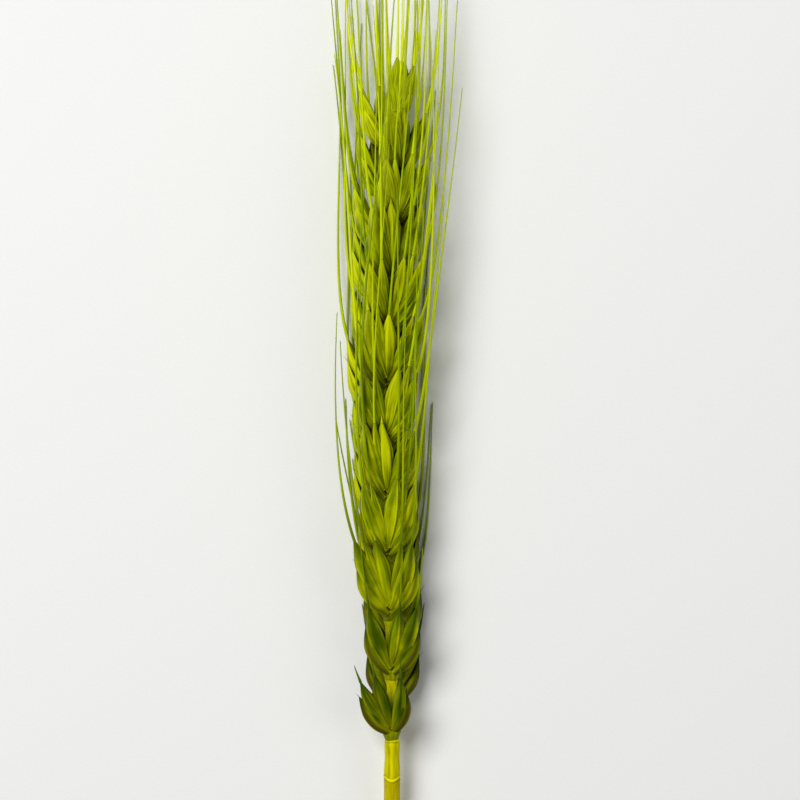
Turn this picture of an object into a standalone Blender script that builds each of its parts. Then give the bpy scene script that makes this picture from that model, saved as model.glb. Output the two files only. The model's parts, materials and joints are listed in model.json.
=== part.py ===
"""An ear of awned wheat with a stub of its straw, lying on a surface.

The ear lies along Y with its tip at +Y. Spikelets sit in two ranks on a zigzag axis, the rachis.
Everything is first laid out round a straight axis, then bowed, lowered onto the surface at z = 0
and moved so that the origin is under the middle of the whole ear.
"""

import math
import random
from collections import namedtuple

import bmesh
import bpy
import numpy as np
from mathutils.kdtree import KDTree

MM = 0.001

# Driving sizes
EAR_LENGTH = 100 * MM
SPIKELETS = 23
LOWEST_PITCH = 4.45 * MM
HIGHEST_PITCH = 3.70 * MM
TWIST = math.radians(64)
BOW = 1.4 * MM
TIP_DRIFT = 0.4 * MM
AXIS_HEIGHT = 4.65 * MM
AXIS_HUMP = 0.5 * MM
HUMP_START = 35 * MM
HUMP_LENGTH = 70 * MM
STRAW_LENGTH = 31 * MM
STRAW_RADIUS = 1.2 * MM
STRAW_BORE = 0.65 * MM
STRAW_RIM = 0.5 * MM
STRAW_RIM_RADIUS = 1.4 * MM
STRAW_TOP_RADIUS = 1.3 * MM
STRAW_CLOSED_TOP = 4 * MM
FIRST_STRETCH = 5.4 * MM
AWN_RADIUS = 0.27 * MM
AWN_TIP_RADIUS = 0.07 * MM
LONGEST_AWN = 52 * MM
AWN_REACH = 118 * MM
GAP = 0.3 * MM
FOOT_OUT = 1.2 * MM
FOOT_ABOVE_NODE = 0.75 * MM
LEAN_DEGREES = (9.5, 12.5)
ROLL_DEGREES = (-4, 4)
LOWEST_ROLL = math.radians(11)
SEED = 20

# Colours, from the darker husks near the straw to the brighter ones at the tip
STRAW_COLOUR = (0.36, 0.33, 0.02)
RACHIS_COLOUR = (0.42, 0.40, 0.02)
LOW_HUSK_COLOUR = (0.10, 0.14, 0.005)
HIGH_HUSK_COLOUR = (0.24, 0.34, 0.010)

# The last spikelet stands across the tip, partly closed, and leans away from the one before it
LAST_ROLL = math.radians(9)
LAST_ABOVE_NODE = 1.2 * MM
LAST_SHIFT = 0.5 * MM
LAST_CLOSED = 0.55

Husk = namedtuple("Husk", "base belly tip half_width depth keel_turn awned")

# A husk's middle line runs from its base past its belly to its tip, each given as millimetres to the
# side, up the spikelet and out from the rachis. Its keel is turned from the outward side.
GLUME = Husk((0.30, 0.0, 0.0), (3.0, 2.4, 0.2), (4.3, 7.8, 0.1), 1.60, 1.40, 58, False)
OUTER_LEMMA = Husk((0.35, 0.8, 0.3), (2.9, 5.2, 0.6), (4.1, 10.8, 0.5), 1.55, 1.40, 52, True)
MIDDLE_LEMMA = Husk((0.05, 1.3, 0.4), (0.8, 5.8, 1.0), (1.1, 11.6, 0.8), 1.45, 1.10, 14, True)

# One outer lemma sits a little higher than the other, and husk tips stray a little
UPPER_LIFT = 0.5 * MM
TIP_STRAY = 0.25 * MM

# Sections of the rachis: half width, and how far it reaches back and forward of the ear's axis,
# or away from the nearest spikelet and towards it
RACHIS_FOOT = (1.22 * MM, 1.05 * MM, 1.05 * MM)
RACHIS_WAIST = (0.98 * MM, 0.85 * MM, 0.85 * MM)
RACHIS_SHOULDER = (1.15 * MM, 0.75 * MM, 1.05 * MM)
LEDGE = (1.05 * MM, 0.40 * MM, 1.10 * MM)
BEHIND_FOOT = (0.75 * MM, 0.45 * MM, 0.30 * MM)
BELOW_NEXT = (0.75 * MM, 0.75 * MM, 0.30 * MM)
RACHIS_TOP = (0.75 * MM, 0.55 * MM, 0.55 * MM)
LEDGE_DROP = 0.1 * MM
RACHIS_SLIMMING = 0.35

# Cross-section of a husk's outer side, from one margin over the keel to the other
FOLDS = (-1.0, -0.5, 0.0, 0.5, 1.0)
STATIONS = (0.0, 0.22, 0.52, 0.86)
INNER_HOLLOW = -0.55
BEAK = 0.4 * MM

# Bristles leave a husk where its tip has become as thin as they are
AWN_START = 0.97
AWN_STEPS = 28
AWN_RINGS = (1, 3, 6, 11, 18, 28)
AWN_CORNER = 1.15
AWN_TRIES = 120
SHORTEST_AWN_STEPS = 0.6
AWN_CLEARANCE = 0.24 * MM
SURFACE_CLEARANCE = 0.06 * MM
KEPT_FREE = 4 * MM
MERGE = 0.001 * MM
SHARP_ANGLE = math.radians(40)


def node_height(index):
    """Place of a spikelet's node along the ear, counted in nodes from the lowest."""
    shrink = (LOWEST_PITCH - HIGHEST_PITCH) / (SPIKELETS - 1)
    return index * LOWEST_PITCH - shrink * index * (index - 1) / 2


def twist_at(y):
    """The ear turns slowly about its own axis towards the tip."""
    share = np.clip(y / EAR_LENGTH, 0, 1)
    return TWIST * share**2.2


def axis_offset(y):
    """Sideways bow and height of the ear's axis over the surface."""
    share = np.clip(y / EAR_LENGTH, 0, 1.25)
    bow = -BOW * np.sin(math.pi * np.clip(share, 0, 1)) ** 2 + TIP_DRIFT * share
    low = y + FIRST_STRETCH + STRAW_LENGTH
    rise = np.clip(low / (FIRST_STRETCH + STRAW_LENGTH), 0, 1)
    ease = rise * rise * (3 - 2 * rise)
    height = STRAW_RADIUS + (AXIS_HEIGHT - STRAW_RADIUS) * ease
    hump = np.clip((y - HUMP_START) / HUMP_LENGTH, 0, 1)
    height = height + AXIS_HUMP * np.sin(math.pi * hump) ** 2
    return bow, height


def laid_down(points):
    """Bow the straight ear and set it over the surface."""
    bow, height = axis_offset(points[:, 1])
    return points + np.stack((bow, np.zeros_like(bow), height), axis=1)


def spikelet_size(index):
    """Lowest and highest spikelets are smaller than those between."""
    share = index / (SPIKELETS - 1)
    low = 0.80 + 0.20 * min(share / 0.14, 1)
    high = 1.0 - 0.22 * max((share - 0.75) / 0.25, 0)
    return low * high


def spikelet_frame(index):
    """Foot of a spikelet and its side, up and out directions."""
    rng = random.Random(SEED + index)
    y = node_height(index)
    rank = 1 if index % 2 == 0 else -1
    turn = float(twist_at(y))
    lean = math.radians(rng.uniform(*LEAN_DEGREES))
    roll = math.radians(rng.uniform(*ROLL_DEGREES))
    last = index == SPIKELETS - 1
    if index == 0:
        roll = LOWEST_ROLL
    if last:
        turn += math.pi / 2
        lean = 0.0
        roll = LAST_ROLL
    out = np.array((rank * math.sin(turn), 0.0, rank * math.cos(turn)))
    up = np.array((0.0, 1.0, 0.0))
    side = np.cross(up, out)
    foot = up * (y + FOOT_ABOVE_NODE) + out * FOOT_OUT
    if last:
        foot = up * (y + LAST_ABOVE_NODE) - side * LAST_SHIFT
    up, out = up * math.cos(lean) + out * math.sin(lean), out * math.cos(lean) - up * math.sin(lean)
    side, up = side * math.cos(roll) + up * math.sin(roll), up * math.cos(roll) - side * math.sin(roll)
    return foot, np.array((side, up, out))


def spikelet_husks(index):
    """The husks of one spikelet, each with the side that it grows on and its own small changes."""
    rng = random.Random(SEED * 7 + index)
    lean_side = 1 if (index // 2) % 2 else -1
    plan = ((GLUME, -1), (GLUME, 1), (OUTER_LEMMA, -1), (OUTER_LEMMA, 1), (MIDDLE_LEMMA, lean_side))
    spread = LAST_CLOSED if index == SPIKELETS - 1 else 1.0
    husks = []
    for husk, hand in plan:
        size = spikelet_size(index) * MM * rng.uniform(0.95, 1.04)
        lift = UPPER_LIFT if husk is OUTER_LEMMA and hand == lean_side else 0.0
        husks.append((husk, hand * spread, size, lift, rng.uniform(-TIP_STRAY, TIP_STRAY)))
    return husks


def outline(t):
    """Width of a husk along its length, as a share of its widest place."""
    return (0.27 + 2.55 * t) * (1 - t) ** 0.8 / 0.895


def husk_line(entry, frame, t):
    """Middle line of a husk at the places t, with its forward, keel and margin directions."""
    husk, hand, size, lift, drift = entry
    foot, axes = frame
    spread = np.array((hand, 1.0, 1.0))
    base, belly, tip = (np.array(p) * spread * size for p in (husk.base, husk.belly, husk.tip))
    tip = tip + np.array((drift, 0.0, drift))
    t = np.asarray(t, float)[:, None]
    local = (1 - t) ** 2 * base + 2 * t * (1 - t) * belly + t**2 * tip
    local[:, 1] += lift
    forward = 2 * (1 - t) * (belly - base) + 2 * t * (tip - belly)
    points = foot + local @ axes
    forward = forward @ axes
    forward /= np.linalg.norm(forward, axis=1)[:, None]
    turn = math.radians(husk.keel_turn) * hand
    keel = np.array((math.sin(turn), 0.0, math.cos(turn))) @ axes
    keel = keel - forward * (forward @ keel)[:, None]
    keel /= np.linalg.norm(keel, axis=1)[:, None]
    return points, forward, keel, np.cross(forward, keel)


def husk_surface(entry, frame, t, folds):
    """Outer side of a husk: rows along its length, each from margin over keel to margin."""
    husk, size = entry[0], entry[2]
    points, forward, keel, margin = husk_line(entry, frame, t)
    width = outline(np.asarray(t, float))[:, None, None]
    folds = np.asarray(folds, float)[None, :, None]
    across = np.sin(2.0 * folds) * husk.half_width * size * width
    along_keel = (1 - 0.65 * abs(folds) - 0.8 * folds**2) * husk.depth * size * width
    return points[:, None] + across * margin[:, None] + along_keel * keel[:, None]


def husk_rings(entry, frame):
    """Rings of the closed husk: its outer side and one point on its inner side."""
    husk, size = entry[0], entry[2]
    outer = husk_surface(entry, frame, STATIONS, FOLDS)
    points, forward, keel, margin = husk_line(entry, frame, STATIONS)
    width = outline(np.asarray(STATIONS))[:, None]
    inner = points + keel * INNER_HOLLOW * husk.depth * size * width
    return np.concatenate((outer, inner[:, None]), axis=1)


def awn_length(index, start_y, rng):
    """The lowest spikelets only have awn points, and the rest reach past the ear's tip."""
    if index < 3:
        return (3 + 4 * index) * MM * rng.uniform(0.7, 1.0)
    full = min(LONGEST_AWN, AWN_REACH - start_y) * min(1.0, 0.45 + 0.11 * (index - 2))
    return full * rng.uniform(0.86, 1.0)


def awn_path(start, heading, length, attempt, rng):
    """A bristle that leaves the husk's tip and soon runs nearly along the ear.

    Each further attempt lets it stand out a little more, and stray a little more.
    """
    radial = np.array((start[0], 0.0, start[2]))
    radial /= np.linalg.norm(radial)
    across = np.cross((0.0, 1.0, 0.0), radial)
    spread = math.tan(math.radians(rng.uniform(-0.5, 2.6) + 0.02 * attempt))
    stray = math.tan(math.radians(rng.gauss(0, 1.8 + 0.03 * attempt)))
    goal = np.array((0.0, 1.0, 0.0)) + radial * spread + across * stray
    curl = (radial * rng.uniform(-0.012, 0.012) + across * rng.gauss(0, 0.010)) / (10 * MM)
    settle = (rng.uniform(6, 9) + 0.04 * attempt) * MM
    step = length / AWN_STEPS
    path = [np.array(start)]
    for i in range(AWN_STEPS):
        run = (i + 0.5) * step
        blend = math.exp(-run / settle)
        way = heading * blend + goal * (1 - blend) + curl * run
        path.append(path[-1] + way / np.linalg.norm(way) * step)
    return np.array(path)


def awn_radii():
    """Taper of a bristle from the husk's tip to its own tip."""
    share = np.linspace(0, 1, AWN_STEPS + 1)
    return AWN_RADIUS + (AWN_TIP_RADIUS - AWN_RADIUS) * share**0.8


def pressed_up(path, radii):
    """Bend a bristle that would dip under the surface so that it runs along it."""
    height = axis_offset(path[:, 1])[1]
    floor = radii + SURFACE_CLEARANCE - height
    lift = np.maximum(floor - path[:, 2], 0)
    bent = np.array(path)
    bent[:, 2] += lift
    bent[:, 0] += np.sign(path[:, 0]) * 0.7 * lift
    return bent


def resampled(path, steps):
    """The first steps of a bristle, spread over as many points as the whole one had."""
    places = np.linspace(0, steps, len(path))
    return np.stack([np.interp(places, range(len(path)), path[:, i]) for i in range(3)], axis=1)


def husk_cloud(index):
    """Points all over the outer sides of one spikelet's husks, for measuring the room beside them."""
    frame = spikelet_frame(index)
    along = np.linspace(0, 1, 18)
    folds = np.linspace(-1, 1, 13)
    rows = [husk_surface(entry, frame, along, folds).reshape(-1, 3) for entry in spikelet_husks(index)]
    points = np.concatenate(rows)
    tree = KDTree(len(points))
    for i, point in enumerate(points):
        tree.insert(point, i)
    tree.balance()
    return tree


def free_steps(path, radii, clouds, bristles):
    """How many steps of a bristle are clear of what is already there, counted from its root."""
    room = np.array([min(cloud.find(point)[2] for cloud in clouds) for point in path]) - radii
    apart = np.linalg.norm(path[:, None] - bristles[None, :, :3], axis=2)
    room = np.minimum(room, (apart - radii[:, None] - bristles[None, :, 3]).min(axis=1))
    blocked = np.flatnonzero(room < AWN_CLEARANCE)
    return int(blocked[0]) if len(blocked) else len(path)


def awn_exit(index, entry):
    """Where a bristle leaves its husk, and its heading there."""
    points, forward, keel, margin = husk_line(entry, spikelet_frame(index), (AWN_START,))
    return points[0], forward[0]


def place_awn(index, slot, entry, clouds, bristles):
    """The first drawn bristle that is clear of all other spikelets, or the clear part of the best."""
    rng = random.Random(SEED * 101 + index * 5 + slot)
    start, heading = awn_exit(index, entry)
    length = awn_length(index, start[1], rng)
    radii = awn_radii()
    most, chosen = -1, None
    for attempt in range(AWN_TRIES):
        path = pressed_up(awn_path(start, heading, length, attempt, rng), radii)
        free = free_steps(path, radii, clouds, bristles)
        if free > most:
            most, chosen = free, path
        if free == len(path):
            return path
    return resampled(chosen, max(most - 2, SHORTEST_AWN_STEPS))


def plan_awns():
    """Every bristle's path by spikelet and husk. A stretch ahead of each husk is kept for its own."""
    clouds = [husk_cloud(index) for index in range(SPIKELETS)]
    awned = [
        (index, slot, entry)
        for index in range(SPIKELETS)
        for slot, entry in enumerate(spikelet_husks(index))
        if entry[0].awned
    ]
    taken = {}
    for index, slot, entry in awned:
        start, heading = awn_exit(index, entry)
        run = np.linspace(0, KEPT_FREE, 8)[:, None]
        taken[index, slot] = np.c_[start + heading * run, np.full(8, AWN_RADIUS)]
    paths = {}
    for index, slot, entry in awned:
        others = [cloud for i, cloud in enumerate(clouds) if i != index]
        bristles = np.concatenate([line for key, line in taken.items() if key[0] != index])
        paths[index, slot] = place_awn(index, slot, entry, others, bristles)
        taken[index, slot] = np.c_[paths[index, slot], awn_radii()]
    return paths


def mesh_object(name, points, faces, material):
    """A closed mesh with its faces pointing out."""
    mesh = bpy.data.meshes.new(name)
    mesh.from_pydata([tuple(map(float, p)) for p in points], [], faces)
    shape = bmesh.new()
    shape.from_mesh(mesh)
    bmesh.ops.recalc_face_normals(shape, faces=shape.faces)
    bmesh.ops.triangulate(shape, faces=shape.faces)
    shape.to_mesh(mesh)
    shape.free()
    mesh.materials.append(material)
    piece = bpy.data.objects.new(name, mesh)
    bpy.context.scene.collection.objects.link(piece)
    return piece


def tube_faces(rings, sides, first=0):
    """Quads between rings of equal size."""
    faces = []
    for r in range(rings - 1):
        for i in range(sides):
            a = first + r * sides + i
            b = first + r * sides + (i + 1) % sides
            faces.append((a, b, b + sides, a + sides))
    return faces


def husk_object(name, entry, frame, awn, material):
    """One husk as a closed body, running out into a point or into its awn."""
    rings = husk_rings(entry, frame)
    sides = rings.shape[1]
    points = list(rings.reshape(-1, 3))
    faces = tube_faces(len(STATIONS), sides)
    faces.append(tuple(range(sides)))
    last = (len(STATIONS) - 1) * sides
    tip, forward, keel, margin = husk_line(entry, frame, (AWN_START,))
    if awn is None:
        points.append(tip[0] + forward[0] * BEAK)
        faces.extend((last + i, last + (i + 1) % sides, len(points) - 1) for i in range(sides))
        return mesh_object(name, points, faces, material)
    radii = awn_radii()
    start = len(points)
    for step in AWN_RINGS[:-1]:
        for angle in (-120, 0, 120):
            turn = math.radians(angle)
            spoke = keel[0] * math.cos(turn) + margin[0] * math.sin(turn)
            points.append(awn[step] + spoke * radii[step] * AWN_CORNER)
    points.append(awn[AWN_RINGS[-1]])
    left, crest, right = start, start + 1, start + 2
    outer_left, left_fold, ridge, right_fold, outer_right, inner = range(last, last + sides)
    faces.extend(
        (
            (outer_left, left_fold, left),
            (left_fold, ridge, crest, left),
            (ridge, right_fold, right, crest),
            (right_fold, outer_right, right),
            (outer_right, inner, right),
            (inner, left, right),
            (inner, outer_left, left),
        )
    )
    faces.extend(tube_faces(len(AWN_RINGS) - 1, 3, start))
    end = len(points) - 1
    faces.extend((end - 3 + i, end - 3 + (i + 1) % 3, end) for i in range(3))
    return mesh_object(name, points, faces, material)


def fused(name, pieces):
    """Join the pieces of one spikelet into one closed body."""
    body = pieces[0]
    group = bpy.data.collections.new(name + "_husks")
    bpy.context.scene.collection.children.link(group)
    for piece in pieces[1:]:
        bpy.context.scene.collection.objects.unlink(piece)
        group.objects.link(piece)
    union = body.modifiers.new("Union", "BOOLEAN")
    union.operation = "UNION"
    union.operand_type = "COLLECTION"
    union.collection = group
    union.solver = "EXACT"
    graph = bpy.context.evaluated_depsgraph_get()
    mesh = bpy.data.meshes.new_from_object(body.evaluated_get(graph))
    body.modifiers.remove(union)
    body.data = mesh
    body.name = name
    mesh.name = name
    for piece in pieces[1:]:
        bpy.data.objects.remove(piece)
    bpy.data.collections.remove(group)
    return body


def rachis_rings():
    """Sections of the rachis from its foot to its top: place along the ear, then the section."""
    rings = [
        (GAP - FIRST_STRETCH, *RACHIS_FOOT),
        (-0.55 * FIRST_STRETCH, *RACHIS_WAIST),
        (-0.18 * FIRST_STRETCH, *RACHIS_SHOULDER),
    ]
    for index in range(SPIKELETS - 1):
        y = node_height(index)
        rise = node_height(index + 1) - y
        slim = 1.0 - RACHIS_SLIMMING * index / (SPIKELETS - 1)
        places = (y - LEDGE_DROP, y + GAP, y + 0.65 * rise)
        for place, (half_width, away, towards) in zip(places, (LEDGE, BEHIND_FOOT, BELOW_NEXT)):
            back, front = (away, towards) if index % 2 == 0 else (towards, away)
            rings.append((place, half_width * slim, back, front))
    rings.append((node_height(SPIKELETS - 1) - LEDGE_DROP, *RACHIS_TOP))
    return rings


def build_rachis(material):
    """The flattened zigzag axis, with a ledge under each spikelet."""
    sides = 6
    points = []
    rings = rachis_rings()
    for y, half_width, back, front in rings:
        turn = float(twist_at(y))
        out = np.array((math.sin(turn), 0.0, math.cos(turn)))
        side = np.array((math.cos(turn), 0.0, -math.sin(turn)))
        middle = (front - back) / 2
        half_depth = (front + back) / 2
        for i in range(sides):
            angle = (i + 0.5) * 2 * math.pi / sides
            across = half_width * math.cos(angle) / math.cos(math.pi / sides)
            depth = middle + half_depth * math.sin(angle) / math.cos(math.pi / sides)
            points.append(np.array((0.0, y, 0.0)) + side * across + out * depth)
    faces = tube_faces(len(rings), sides)
    faces.append(tuple(range(sides)))
    faces.append(tuple(range(len(points) - sides, len(points))))
    return mesh_object("rachis", points, faces, material)


def build_straw(material):
    """A hollow cut straw with a small rim at its top, closed under the rim."""
    sides = 12
    top = -FIRST_STRETCH
    bottom = top - STRAW_LENGTH
    outer = [(bottom + STRAW_LENGTH * i / 8, STRAW_RADIUS) for i in range(8)]
    outer.append((top - 2 * STRAW_RIM, STRAW_RADIUS))
    outer.append((top - STRAW_RIM, STRAW_RIM_RADIUS))
    outer.append((top, STRAW_TOP_RADIUS))
    hollow = STRAW_LENGTH - STRAW_CLOSED_TOP
    inner = [(bottom + hollow * i / 6, STRAW_BORE) for i in range(6, -1, -1)]
    points = []
    for y, radius in outer + inner:
        for i in range(sides):
            angle = i * 2 * math.pi / sides
            points.append(np.array((radius * math.cos(angle), y, radius * math.sin(angle))))
    faces = tube_faces(len(outer), sides)
    faces.append(tuple(range((len(outer) - 1) * sides, len(outer) * sides)))
    first_inner = len(outer) * sides
    faces.append(tuple(range(first_inner, first_inner + sides)))
    faces.extend(tube_faces(len(inner), sides, first_inner))
    last_inner = len(points) - sides
    for i in range(sides):
        j = (i + 1) % sides
        faces.append((i, j, last_inner + j, last_inner + i))
    return mesh_object("straw", points, faces, material)


def plant_material(name, colour, roughness):
    """Plain plant tissue in one colour."""
    material = bpy.data.materials.new(name)
    material.use_nodes = True
    shader = material.node_tree.nodes["Principled BSDF"]
    shader.inputs["Base Color"].default_value = (*colour, 1.0)
    shader.inputs["Roughness"].default_value = roughness
    shader.inputs["Metallic"].default_value = 0.0
    return material


def cut_at_surface(mesh):
    """Take off what would be pressed into the surface, which leaves small flat spots to rest on."""
    shape = bmesh.new()
    shape.from_mesh(mesh)
    everything = shape.verts[:] + shape.edges[:] + shape.faces[:]
    bmesh.ops.bisect_plane(
        shape, geom=everything, dist=MERGE, plane_co=(0, 0, 0), plane_no=(0, 0, 1), clear_inner=True
    )
    bmesh.ops.holes_fill(shape, edges=[edge for edge in shape.edges if edge.is_boundary])
    for vertex in shape.verts:
        if abs(vertex.co.z) < MERGE:
            vertex.co.z = 0.0
    bmesh.ops.triangulate(shape, faces=shape.faces)
    shape.to_mesh(mesh)
    shape.free()


def lay_down(pieces):
    """Move every piece onto the surface and centre the whole over the origin."""
    for piece in pieces:
        mesh = piece.data
        flat = np.empty(len(mesh.vertices) * 3, dtype=np.float32)
        mesh.vertices.foreach_get("co", flat)
        laid = laid_down(flat.reshape(-1, 3).astype(float))
        mesh.vertices.foreach_set("co", laid.astype(np.float32).ravel())
        if laid[:, 2].min() < -MERGE:
            cut_at_surface(mesh)
    corners = np.array([v.co[:] for piece in pieces for v in piece.data.vertices])
    middle = (corners.min(axis=0) + corners.max(axis=0)) / 2
    for piece in pieces:
        for vertex in piece.data.vertices:
            vertex.co.x -= middle[0]
            vertex.co.y -= middle[1]
        piece.data.shade_smooth()
        piece.data.set_sharp_from_angle(angle=SHARP_ANGLE)


def build_ear():
    """All pieces of the ear."""
    for old in list(bpy.data.objects):
        bpy.data.objects.remove(old)
    pieces = [
        build_straw(plant_material("green_straw", STRAW_COLOUR, 0.45)),
        build_rachis(plant_material("rachis_tissue", RACHIS_COLOUR, 0.5)),
    ]
    awns = plan_awns()
    for index in range(SPIKELETS):
        name = f"spikelet_{index + 1:02d}"
        fresh = index / (SPIKELETS - 1)
        colour = tuple(low + (high - low) * fresh for low, high in zip(LOW_HUSK_COLOUR, HIGH_HUSK_COLOUR))
        material = plant_material(f"husk_green_{index + 1:02d}", colour, 0.5)
        frame = spikelet_frame(index)
        husks = [
            husk_object(f"{name}_husk_{slot}", entry, frame, awns.get((index, slot)), material)
            for slot, entry in enumerate(spikelet_husks(index))
        ]
        pieces.append(fused(name, husks))
    lay_down(pieces)


build_ear()
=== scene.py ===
import json
import math
import random
from collections import namedtuple

import bmesh
import bpy
import numpy as np
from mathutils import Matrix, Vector
from mathutils.kdtree import KDTree

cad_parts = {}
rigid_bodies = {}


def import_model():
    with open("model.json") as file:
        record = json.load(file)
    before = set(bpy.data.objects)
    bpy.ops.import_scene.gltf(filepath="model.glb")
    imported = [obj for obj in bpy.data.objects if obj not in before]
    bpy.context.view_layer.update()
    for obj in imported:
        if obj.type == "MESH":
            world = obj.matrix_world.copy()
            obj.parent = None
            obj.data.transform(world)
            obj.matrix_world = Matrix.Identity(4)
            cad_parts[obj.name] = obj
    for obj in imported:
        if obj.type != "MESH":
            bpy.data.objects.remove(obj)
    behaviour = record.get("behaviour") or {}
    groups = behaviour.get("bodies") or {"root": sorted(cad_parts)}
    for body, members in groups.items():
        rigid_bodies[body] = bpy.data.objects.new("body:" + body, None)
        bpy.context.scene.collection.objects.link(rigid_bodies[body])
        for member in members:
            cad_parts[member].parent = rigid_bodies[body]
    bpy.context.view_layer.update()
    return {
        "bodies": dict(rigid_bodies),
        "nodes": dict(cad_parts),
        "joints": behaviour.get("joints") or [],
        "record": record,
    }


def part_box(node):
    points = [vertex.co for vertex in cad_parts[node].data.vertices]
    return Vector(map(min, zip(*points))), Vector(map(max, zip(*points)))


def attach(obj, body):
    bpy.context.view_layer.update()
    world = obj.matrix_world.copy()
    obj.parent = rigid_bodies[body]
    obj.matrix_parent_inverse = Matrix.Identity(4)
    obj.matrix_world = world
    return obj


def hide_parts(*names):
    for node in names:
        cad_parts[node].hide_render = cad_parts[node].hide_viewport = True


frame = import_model()

# The ear's layout: the same rules and draws as in the part's source

MM = 0.001
EAR_LENGTH = 100 * MM
SPIKELETS = 23
LOWEST_PITCH = 4.45 * MM
HIGHEST_PITCH = 3.70 * MM
TWIST = math.radians(64)
BOW = 1.4 * MM
TIP_DRIFT = 0.4 * MM
AXIS_HEIGHT = 4.65 * MM
AXIS_HUMP = 0.5 * MM
HUMP_START = 35 * MM
HUMP_LENGTH = 70 * MM
STRAW_LENGTH = 31 * MM
STRAW_RADIUS = 1.2 * MM
STRAW_BORE = 0.65 * MM
STRAW_RIM = 0.5 * MM
STRAW_RIM_RADIUS = 1.4 * MM
STRAW_TOP_RADIUS = 1.3 * MM
STRAW_CLOSED_TOP = 4 * MM
FIRST_STRETCH = 5.4 * MM
AWN_RADIUS = 0.27 * MM
AWN_TIP_RADIUS = 0.07 * MM
LONGEST_AWN = 52 * MM
AWN_REACH = 118 * MM
GAP = 0.3 * MM
FOOT_OUT = 1.2 * MM
FOOT_ABOVE_NODE = 0.75 * MM
LEAN_DEGREES = (9.5, 12.5)
ROLL_DEGREES = (-4, 4)
LOWEST_ROLL = math.radians(11)
SEED = 20
LAST_ROLL = math.radians(9)
LAST_ABOVE_NODE = 1.2 * MM
LAST_SHIFT = 0.5 * MM
LAST_CLOSED = 0.55
UPPER_LIFT = 0.5 * MM
TIP_STRAY = 0.25 * MM
AWN_START = 0.97
AWN_STEPS = 28
AWN_SPREAD_DEGREES = (-0.5, 2.6)
AWN_STRAY_DEGREES = 1.8
AWN_CURL = 0.012 / (10 * MM)
AWN_SWERVE = 0.010 / (10 * MM)
AWN_SETTLING = (6, 9)
AWN_TRIES = 120
SHORTEST_AWN_STEPS = 0.6
AWN_CLEARANCE = 0.24 * MM
SURFACE_CLEARANCE = 0.06 * MM
KEPT_FREE = 4 * MM
FIRST_UPPER_FLORETS = 3
UPPER_AWN_SHARE = (0.70, 1.0)
UPPER_AWN_SLOT = 10

# How a husk's section folds: half its fold, and how its sides fall away from the keel
HALF_FOLD = 2.0
KEEL_SLOPE = 0.65
SIDE_CURVE = 0.8

Husk = namedtuple("Husk", "base belly tip half_width depth keel_turn awned")
GLUME = Husk((0.30, 0.0, 0.0), (3.0, 2.4, 0.2), (4.3, 7.8, 0.1), 1.60, 1.40, 58, False)
OUTER_LEMMA = Husk((0.35, 0.8, 0.3), (2.9, 5.2, 0.6), (4.1, 10.8, 0.5), 1.55, 1.40, 52, True)
MIDDLE_LEMMA = Husk((0.05, 1.3, 0.4), (0.8, 5.8, 1.0), (1.1, 11.6, 0.8), 1.45, 1.10, 14, True)
UPPER_LEMMA = Husk((0.15, 1.8, 0.5), (1.9, 5.8, 1.15), (2.75, 11.7, 1.05), 0.95, 0.80, 36, True)

# Sections of the rachis: half width, and how far it reaches back and forward of the ear's axis.
# The waist is a little wider here than in the part's source, for a straighter first stretch
RACHIS_FOOT = (1.22 * MM, 1.05 * MM, 1.05 * MM)
RACHIS_WAIST = (1.10 * MM, 0.85 * MM, 0.85 * MM)
RACHIS_SHOULDER = (1.15 * MM, 0.75 * MM, 1.05 * MM)
LEDGE = (1.05 * MM, 0.40 * MM, 1.10 * MM)
BEHIND_FOOT = (0.75 * MM, 0.45 * MM, 0.30 * MM)
BELOW_NEXT = (0.75 * MM, 0.75 * MM, 0.30 * MM)
RACHIS_TOP = (0.75 * MM, 0.55 * MM, 0.55 * MM)
LEDGE_DROP = 0.1 * MM
RACHIS_SLIMMING = 0.35


def node_height(index):
    """Place of a spikelet's node along the ear."""
    shrink = (LOWEST_PITCH - HIGHEST_PITCH) / (SPIKELETS - 1)
    return index * LOWEST_PITCH - shrink * index * (index - 1) / 2


def twist_at(y):
    """The ear turns slowly about its own axis towards the tip."""
    share = np.clip(y / EAR_LENGTH, 0, 1)
    return TWIST * share**2.2


def axis_offset(y):
    """Sideways bow and height of the ear's axis over the surface."""
    share = np.clip(y / EAR_LENGTH, 0, 1.25)
    bow = -BOW * np.sin(math.pi * np.clip(share, 0, 1)) ** 2 + TIP_DRIFT * share
    low = y + FIRST_STRETCH + STRAW_LENGTH
    rise = np.clip(low / (FIRST_STRETCH + STRAW_LENGTH), 0, 1)
    ease = rise * rise * (3 - 2 * rise)
    height = STRAW_RADIUS + (AXIS_HEIGHT - STRAW_RADIUS) * ease
    hump = np.clip((y - HUMP_START) / HUMP_LENGTH, 0, 1)
    height = height + AXIS_HUMP * np.sin(math.pi * hump) ** 2
    return bow, height


def spikelet_size(index):
    """Lowest and highest spikelets are smaller than those between."""
    share = index / (SPIKELETS - 1)
    low = 0.80 + 0.20 * min(share / 0.14, 1)
    high = 1.0 - 0.22 * max((share - 0.75) / 0.25, 0)
    return low * high


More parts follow.
